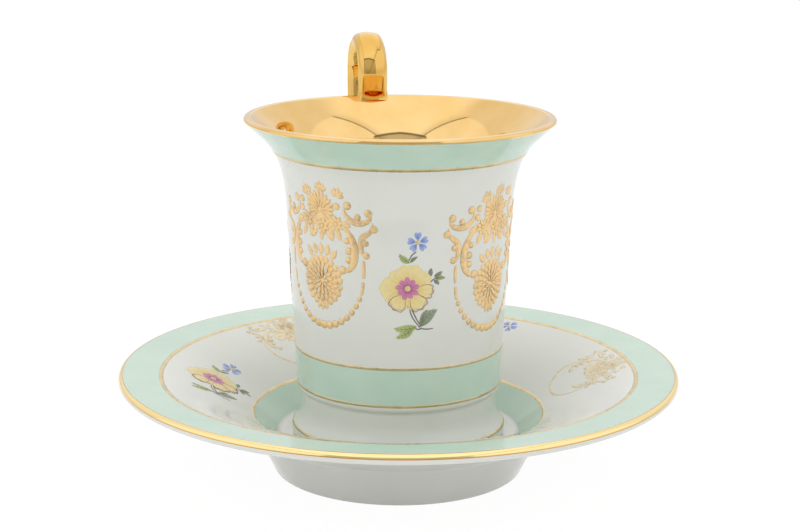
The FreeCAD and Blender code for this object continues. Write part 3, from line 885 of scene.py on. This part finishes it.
def relief(name, strokes, place):
    """One piece from many strokes, each a ring surface closed to a point at both ends."""
    points, faces, share = [], [], []
    count = 0
    for ring in strokes:
        rows, columns = ring.shape[:2]
        grid = np.meshgrid(np.arange(rows - 1), np.arange(columns), indexing="ij")
        row, column = (axis.ravel() for axis in grid)
        here, above = count + row * columns, count + (row + 1) * columns
        after = (column + 1) % columns
        faces.append(np.column_stack([here + column, here + after, above + after, above + column]))
        share.append(np.stack([
            np.column_stack([column, column + 1, column + 1, column]) / columns,
            np.column_stack([row, row, row + 1, row + 1]) / (rows - 1),
        ], axis=-1).reshape(-1, 2))
        points.append(ring.reshape(-1, 3))
        count += rows * columns
    points = np.vstack(points)
    placed = np.column_stack(place(points[:, 0], points[:, 1], points[:, 2]))
    return mesh_piece(name, placed, np.vstack(faces), np.vstack(share), merge=True)


gilded = cartouche()
gilded_saucer = [ring * np.array([1, 1, 0.5]) for ring in saucer_cartouche()]
painted = sprig()

# Where each motif lies: degrees round the piece from the photograph's middle on the cup and from its
# right on the saucer, with height and scale on the cup, and distance and heading on the saucer
cup_cartouches = {
    "front_left": (-42.7, 0.0),
    "front_right": (54.0, -1.6),
    "back_right": (137.3, -0.8),
    "back_left": (228.5, -0.8),
}
cup_sprigs = {"front": (4.2, 58.0), "right": (95.6, 58.0), "left": (-94.0, 58.0, 0.88)}
saucer_cartouches = {"right": 10.6, "left": 126.0, "front": -111.0}
saucer_sprigs = {
    "left": (52.5, 174.8, 83.0),
    "back": (52.0, 65.5, 30.0),
    "front": (52.5, -62.0, -45.0),
}

raised_gold, pale_gold = [], []
for name, spot in cup_cartouches.items():
    raised_gold.append(relief("gilt_cartouche_" + name, gilded, on_cup(*spot)))
for name, turn in saucer_cartouches.items():
    spread = on_saucer(55.9, turn, turn - 11, (0.79, 0.66), 70.0)
    pale_gold.append(relief("gilt_saucer_cartouche_" + name, gilded_saucer, spread))

flowers = []
for name, spot in cup_sprigs.items():
    for tone, strokes in painted.items():
        flowers.append((tone, relief("sprig_" + name + "_" + tone, strokes, on_cup(*spot))))
for name, (distance, turn, heading) in saucer_sprigs.items():
    for tone, strokes in painted.items():
        spread = on_saucer(distance, turn, heading, (1.02, 1.02))
        flowers.append((tone, relief("saucer_sprig_" + name + "_" + tone, strokes, spread)))


# Finishes


def colour(code):
    """An sRGB hex code such as D8D8D2 as the linear RGBA that a shader takes."""
    channels = [int(code[first : first + 2], 16) / 255 for first in (0, 2, 4)]
    return [c / 12.92 if c <= 0.04045 else ((c + 0.055) / 1.055) ** 2.4 for c in channels] + [1.0]


def empty_tree(owner):
    """The node tree of a new material or world, with nothing in it."""
    owner.use_nodes = True
    owner.node_tree.nodes.clear()
    return owner.node_tree


def add(tree, kind, inputs=None, stops=(), **settings):
    """Adds a shader node of a kind, with its settings and links.

    An input is a number, a colour, another node's output, or a node, which stands for its first
    output. A ramp's stops are pairs of a position and a hex code.
    """
    made = tree.nodes.new("ShaderNode" + kind)
    for name, value in settings.items():
        setattr(made, name, value)
    for name, value in (inputs or {}).items():
        if isinstance(value, bpy.types.Node):
            value = value.outputs[0]
        if isinstance(value, bpy.types.NodeSocket):
            tree.links.new(value, made.inputs[name])
        else:
            made.inputs[name].default_value = value
    for stop, (position, code) in enumerate(stops):
        made.color_ramp.elements[stop].position = position
        made.color_ramp.elements[stop].color = colour(code)
    return made


def finish(name, inputs, detail):
    """A material with one shader; detail(tree) gives the inputs that come from nodes."""
    made = bpy.data.materials.new(name)
    tree = empty_tree(made)
    shader = add(tree, "BsdfPrincipled", inputs | detail(tree))
    add(tree, "OutputMaterial", {"Surface": shader})
    return made


def in_millimetres(tree):
    """Object coordinates in millimetres, so that a noise's scale is one over the size of its cells."""
    spot = add(tree, "TexCoord").outputs["Object"]
    return add(tree, "Mapping", {"Vector": spot, "Scale": [1 / MM] * 3})


def glaze(light, dark, cloud):
    """Thin glaze over fired clay: faint clouds in the colour, and a skin with ripples 3 mm apart."""

    def detail(tree):
        spot = in_millimetres(tree)
        clouds = add(tree, "TexNoise", {"Vector": spot, "Scale": cloud, "Detail": 3.0})
        skin = add(tree, "TexNoise", {"Vector": spot, "Scale": 0.35, "Detail": 2.0})
        bump = {"Height": skin, "Strength": 0.35, "Distance": 0.01 * MM}
        return {
            "Base Color": add(tree, "ValToRGB", {"Fac": clouds}, [(0.3, dark), (0.7, light)]),
            "Roughness": add(tree, "MapRange", {"Value": clouds, "To Min": 0.07, "To Max": 0.13}),
            "Normal": add(tree, "Bump", bump),
        }

    return detail


# Hard-paste porcelain under a clear feldspar glaze: cold white, glossy, with no texture to the eye.
porcelain = finish("glazed_porcelain", {"IOR": 1.52}, glaze("DEDFD9", "DADBD4", 0.05))
# Ground colour dusted on and fired into the glaze: pale green, a little cloudy.
mint = finish("mint_ground", {"IOR": 1.52}, glaze("C4DBCB", "BCD5C5", 0.09))


def burnish(low, high, rim=False):
    """Gold rubbed bright with an agate: a mirror with faint tracks round the piece.

    Worn patches 9 mm apart shade it from low to high. On a rim it is high along the middle of the
    film's outer side, which is at a quarter of its UV, and low at the sides: a painted highlight
    along the middle and painted shade at the edges.
    """

    def detail(tree):
        along = add(tree, "TexCoord").outputs["UV"]
        tracks = add(tree, "Mapping", {"Vector": along, "Scale": (6, 260, 1)})
        rubbed = add(tree, "TexNoise", {"Vector": tracks, "Scale": 1.0, "Detail": 3.0})
        worn = {"Vector": in_millimetres(tree), "Scale": 0.11, "Detail": 4.0}
        worn = add(tree, "TexNoise", worn)
        share, stops = worn, [(0.3, low), (0.7, high)]
        # On a rim the colour is painted light: a painted highlight along the middle of the gold and
        # painted shade at its edges.
        if rim:
            height = add(tree, "SeparateXYZ", {0: along}).outputs[1]
            share = add(tree, "Math", {0: height, 1: 0.25}, operation="SUBTRACT")
            share = add(tree, "Math", {0: share}, operation="ABSOLUTE")
            stops = [(0.06, high), (0.2, low)]
        bump = {"Height": rubbed, "Strength": 0.2, "Distance": 0.01 * MM}
        return {
            "Base Color": add(tree, "ValToRGB", {"Fac": share}, stops),
            "Roughness": add(tree, "MapRange", {"Value": worn, "To Min": 0.03, "To Max": 0.08}),
            "Normal": add(tree, "Bump", bump),
        }

    return detail


# Burnished gold in the cup and along the rim: a warm pale mirror. The handle's is a little deeper.
lining_gold = finish("burnished_gold", {"Metallic": 1.0}, burnish("EBC27C", "F3CE8E"))
handle_gold = finish("burnished_handle_gold", {"Metallic": 1.0}, burnish("E0B25E", "F0C876"))
# The rim's gold carries a painted highlight along its middle and painted shade at its edges.
rim_gold_painted_highlight = finish("burnished_rim_gold_painted_highlight", {"Metallic": 1.0}, burnish("D29C54", "FBE3A4", rim=True))


def brush(tree):
    """Gold laid with a fine brush: uneven in thickness, so that it shines in patches 3 mm apart."""
    uneven = {"Vector": in_millimetres(tree), "Scale": 0.3, "Detail": 4.0}
    uneven = add(tree, "TexNoise", uneven)
    stops = [(0.3, "CAB68C"), (0.7, "E4D0A4")]
    bump = {"Height": uneven, "Strength": 0.3, "Distance": 0.03 * MM}
    return {
        "Base Color": add(tree, "ValToRGB", {"Fac": uneven}, stops),
        "Roughness": add(tree, "MapRange", {"Value": uneven, "To Min": 0.18, "To Max": 0.42}),
        "Normal": add(tree, "Bump", bump),
    }


# Liquid gold lines, brushed on over the glaze as the piece turns: bright but not a mirror.
line_gold = finish("brushed_line_gold", {"Metallic": 1.0}, brush)


def raised(dull, rubbed):
    """Gold over a raised paste: pebbled at 0.8 mm, in dull and rubbed patches 6 mm apart."""

    def detail(tree):
        spot = in_millimetres(tree)
        grain = add(tree, "TexNoise", {"Vector": spot, "Scale": 1.3, "Detail": 4.0})
        patch = add(tree, "TexNoise", {"Vector": spot, "Scale": 0.16, "Detail": 3.0})
        mixed = add(tree, "Math", {0: grain, 1: patch}, operation="ADD")
        bump = {"Height": grain, "Strength": 0.5, "Distance": 0.08 * MM}
        return {
            "Base Color": add(tree, "ValToRGB", {"Fac": mixed}, [(0.8, dull), (1.0, rubbed)]),
            "Roughness": add(tree, "MapRange", {"Value": grain, "To Min": 0.3, "To Max": 0.5}),
            "Normal": add(tree, "Bump", bump),
        }

    return detail


# Raised gilding of the cup's cartouches: a satin relief of gold leaf colour, not a mirror.
raised_gilding = finish("raised_gilding", {"Metallic": 0.85}, raised("DDC094", "F4D29C"))
# The saucer's cartouches are thinner gold that the white glaze shows through: pale and soft.
pale_gilding = finish("pale_gilding", {"Metallic": 0.75}, raised("C9B998", "DCCEB0"))


def brushed_on(foot, tip):
    """Enamel painted from foot to tip of each stroke: streaks of the brush, and a paler tip."""

    def detail(tree):
        along = add(tree, "TexCoord").outputs["UV"]
        streak = add(tree, "Mapping", {"Vector": along, "Scale": (9, 0.8, 1)})
        streak = add(tree, "TexNoise", {"Vector": streak, "Scale": 1.0, "Detail": 2.0})
        pool = {"Vector": in_millimetres(tree), "Scale": 0.6, "Detail": 2.0}
        pool = add(tree, "TexNoise", pool)
        height = add(tree, "SeparateXYZ", {0: along}).outputs[1]
        share = add(tree, "Math", {0: streak, 1: 0.9, 2: -0.4}, operation="MULTIPLY_ADD")
        share = add(tree, "Math", {0: height, 1: share}, operation="ADD")
        share = add(tree, "Math", {0: pool, 1: 0.4, 2: share}, operation="MULTIPLY_ADD")
        return {
            "Base Color": add(tree, "ValToRGB", {"Fac": share}, [(0.25, foot), (0.95, tip)]),
            "Roughness": add(tree, "MapRange", {"Value": pool, "To Min": 0.14, "To Max": 0.3}),
        }

    return detail


# Overglaze enamels of the flower sprigs: thin glassy colour that shows the brush.
tones = {
    "yellow": ("D9B55C", "E6D59C"),
    "rim": ("9A5F4C", "B98A6C"),
    "pink": ("A33F75", "CC86AA"),
    "heart": ("CBB27A", "DCCB9C"),
    "blue": ("5F74BE", "9BAEE0"),
    "green": ("69785C", "98A68A"),
    "lime": ("879A48", "B7C480"),
    "dark": ("5E5454", "857A74"),
}
enamels = {}
for tone, (foot, tip) in tones.items():
    enamels[tone] = finish(tone + "_enamel", {"IOR": 1.5}, brushed_on(foot, tip))


def dress(piece, material):
    """Gives a piece its finish and its place on the set."""
    piece.data.materials.append(material)
    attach(piece, "root")


dress(cup_body, porcelain)
dress(saucer_body, porcelain)
for piece in mint_bands:
    dress(piece, mint)
for piece, gold in ((handle, handle_gold), (lining, lining_gold), (rim_gilding, rim_gold_painted_highlight)):
    dress(piece, gold)
for piece in gilt_lines:
    dress(piece, line_gold)
for piece in raised_gold:
    dress(piece, raised_gilding)
for piece in pale_gold:
    dress(piece, pale_gilding)
for tone, piece in flowers:
    dress(piece, enamels[tone])

# Floor, light and camera

CAMERA_REACH = 496.6
CAMERA_HEIGHT = 172.6
CAMERA_DIP = 0.2285
CAMERA_ROLL = 0.0065
CAMERA_SIDE = 0.2
FOCAL_PIXELS = 1850.0
PHOTO_WIDTH = 800.0
TABLE_RADIUS = 3000.0


def make_floor():
    """A round white floor that keeps the object's shadow on a ground that reads as white.

    Its rings lie at TABLE_RADIUS times the square of a share, from the outermost in, so that it faces up.
    """
    radius = (np.linspace(0, 1, 12)[:, None] ** 2 * TABLE_RADIUS + 1e-3)[::-1]
    angle = np.arange(64) * 2 * np.pi / 64
    rings = np.stack([radius * np.cos(angle), radius * np.sin(angle), 0 * radius * angle], axis=-1)
    floor = surface("floor", rings)
    made = bpy.data.materials.new("studio_floor")
    tree = empty_tree(made)
    rays = add(tree, "LightPath").outputs
    share = {0: rays["Is Camera Ray"], 1: rays["Is Glossy Ray"]}
    share = add(tree, "Math", share, operation="MAXIMUM")
    share = {0: share, 1: rays["Is Transmission Ray"]}
    share = add(tree, "Math", share, operation="MAXIMUM")
    share = add(tree, "Math", {0: share, 1: 0.9}, operation="MULTIPLY")
    paint = add(tree, "BsdfDiffuse", {"Color": colour("FAFAFA")})
    bright = add(tree, "Emission", {"Color": colour("FFFFFF"), "Strength": 1.04})
    mix = add(tree, "MixShader", {"Fac": share, 1: paint, 2: bright})
    add(tree, "OutputMaterial", {"Surface": mix})
    floor.data.materials.append(made)


def make_apron():
    """A dark sheet on the table in front, seen only by what shines: it draws the lips' dark edges."""
    corners = [(-520, -950, 1.0), (-520, -230, 1.0), (520, -950, 1.0), (520, -230, 1.0)]
    turn = Matrix.Rotation(math.radians(CAMERA_TURN), 3, "Z")
    corners = np.array([turn @ Vector(corner) for corner in corners])
    apron = surface("dark_apron", corners.reshape(2, 2, 3), close_columns=False)
    apron.visible_camera = apron.visible_diffuse = apron.visible_shadow = False
    made = bpy.data.materials.new("dark_cloth")
    tree = empty_tree(made)
    cloth = add(tree, "BsdfDiffuse", {"Color": colour("5A5650")})
    add(tree, "OutputMaterial", {"Surface": cloth})
    apron.data.materials.append(made)


def make_world():
    """A white room. Diffuse light comes evenly from all round, and the camera sees plain white.

    What shines sees the studio: a softbox on each side and one overhead, a thin dark seam where they
    meet, and the dark gap in front where the camera stands. All are told apart by direction, with x to
    the photograph's right, -y to the front and z up. A side box lies where z < 1.7 |x| and
    -y > -0.38 |x|. The gap is where |x| < 0.6 (-y) and, up to a low arch, z < 0.9 (-y), and it is
    darkest along its top.
    """
    world = bpy.data.worlds.new("studio")
    bpy.context.scene.world = world
    tree = empty_tree(world)
    soft = {"interpolation_type": "SMOOTHSTEP"}

    way = add(tree, "TexCoord").outputs["Generated"]
    turn = (0, 0, -math.radians(CAMERA_TURN))
    way = add(tree, "Mapping", {"Vector": way, "Rotation": turn})
    x, y, z = add(tree, "SeparateXYZ", {0: way}).outputs
    aside = add(tree, "Math", {0: x}, operation="ABSOLUTE")
    ahead = add(tree, "Math", {0: y, 1: -1.0}, operation="MULTIPLY")
    over = add(tree, "Math", {0: aside, 1: -1.7, 2: z}, operation="MULTIPLY_ADD")

    side = add(tree, "Math", {0: aside, 1: 0.38, 2: ahead}, operation="MULTIPLY_ADD")
    side = add(tree, "MapRange", {"Value": side, "From Min": -0.03, "From Max": 0.05}, **soft)
    seam = add(tree, "Math", {0: over}, operation="ABSOLUTE")
    seam = add(tree, "MapRange", {"Value": seam, "From Min": 0.035, "From Max": 0.012}, **soft)
    seam = add(tree, "Math", {0: seam, 1: side}, operation="MULTIPLY")
    seam = add(tree, "Math", {0: seam, 1: 0.62}, operation="MULTIPLY")

    inside = add(tree, "Math", {0: aside, 1: -1.0}, operation="MULTIPLY")
    inside = add(tree, "Math", {0: ahead, 1: 0.6, 2: inside}, operation="MULTIPLY_ADD")
    under = add(tree, "Math", {0: z, 1: -1.0}, operation="MULTIPLY")
    under = add(tree, "Math", {0: ahead, 1: 0.9, 2: under}, operation="MULTIPLY_ADD")
    under = add(tree, "Math", {0: inside, 1: 0.2, 2: under}, operation="MULTIPLY_ADD")
    depth = add(tree, "MapRange", {"Value": under, "From Min": 0.07, "From Max": 0.14}, **soft)
    depth = add(tree, "Math", {0: depth, 1: -0.36, 2: 0.8}, operation="MULTIPLY_ADD")
    inside = add(tree, "MapRange", {"Value": inside, "From Min": -0.01, "From Max": 0.03}, **soft)
    under = add(tree, "MapRange", {"Value": under, "From Min": -0.02, "From Max": 0.03}, **soft)
    gap = add(tree, "Math", {0: inside, 1: under}, operation="MULTIPLY")
    gap = add(tree, "Math", {0: gap, 1: depth}, operation="MULTIPLY")
    dark = add(tree, "Math", {0: seam, 1: gap}, operation="MAXIMUM")

    low = add(tree, "MapRange", {"Value": z, "From Min": 0.05, "From Max": 0.3}, **soft)
    low = add(tree, "Math", {0: low, 1: 0.17, 2: 0.78}, operation="MULTIPLY_ADD")
    top = add(tree, "MapRange", {"Value": over, "From Min": 0.0, "From Max": 0.3}, **soft)
    lit = add(tree, "Math", {0: top, 1: 0.24, 2: low}, operation="MULTIPLY_ADD")
    box = add(tree, "MapRange", {"Value": over, "From Min": 0.0, "From Max": -0.05}, **soft)
    box = add(tree, "Math", {0: side, 1: box}, operation="MULTIPLY")
    lit = add(tree, "Math", {0: box, 1: 0.16, 2: lit}, operation="MULTIPLY_ADD")
    clear = add(tree, "Math", {0: 1.0, 1: dark}, operation="SUBTRACT")
    shine = add(tree, "Math", {0: lit, 1: clear}, operation="MULTIPLY")

    rays = add(tree, "LightPath").outputs
    room = add(tree, "Background", {"Color": colour("F4F4F4"), "Strength": 0.69})
    boxes = add(tree, "Background", {"Color": colour("FFFFFF"), "Strength": shine})
    white = add(tree, "Background", {"Color": colour("FFFFFF"), "Strength": 1.0})
    mix = add(tree, "MixShader", {"Fac": rays["Is Glossy Ray"], 1: room, 2: boxes})
    mix = add(tree, "MixShader", {"Fac": rays["Is Camera Ray"], 1: mix, 2: white})
    add(tree, "OutputWorld", {"Surface": mix})


def make_lamp(name, spot, size, power, aim=(0, 0, 60)):
    """A softbox at a spot in millimetres, facing its aim. What shines sees the world's own instead."""
    lamp = bpy.data.lights.new(name, "AREA")
    lamp.shape = "RECTANGLE"
    lamp.size, lamp.size_y = (side * MM for side in size)
    lamp.energy = power
    box = bpy.data.objects.new(name, lamp)
    box.location = Vector(spot) * MM
    box.visible_glossy = False
    box.rotation_euler = (Vector(spot) - Vector(aim)).to_track_quat("Z", "Y").to_euler()
    bpy.context.scene.collection.objects.link(box)


def make_camera():
    """A long lens at the photograph's direction, distance and height, turned down and rolled a little."""
    turn = math.radians(CAMERA_TURN)
    lens = bpy.data.cameras.new("camera")
    lens.sensor_width = 36.0
    lens.lens = lens.sensor_width * FOCAL_PIXELS / PHOTO_WIDTH
    lens.clip_start, lens.clip_end = 0.01, 20.0
    camera = bpy.data.objects.new("camera", lens)
    spot = Matrix.Rotation(turn, 3, "Z") @ Vector((CAMERA_SIDE, -CAMERA_REACH, CAMERA_HEIGHT))
    camera.location = spot * MM
    level = Euler((math.pi / 2 - CAMERA_DIP, 0, turn), "XYZ").to_matrix()
    camera.rotation_euler = (level @ Euler((0, 0, CAMERA_ROLL), "XYZ").to_matrix()).to_euler()
    bpy.context.scene.collection.objects.link(camera)
    bpy.context.scene.camera = camera


make_floor()
make_world()
make_lamp("left_softbox", (-900, -500, 580), (900, 1100), 3.25)
make_lamp("right_softbox", (850, -650, 540), (900, 1100), 2.9)
make_lamp("top_softbox", (0, 200, 1200), (1200, 1200), 5.1)
make_apron()
make_camera()

bpy.context.scene.view_settings.view_transform = "Standard"
# The gold cup mirrors itself many times over: fewer bounces would leave black rings in it.
bpy.context.scene.cycles.glossy_bounces = 12
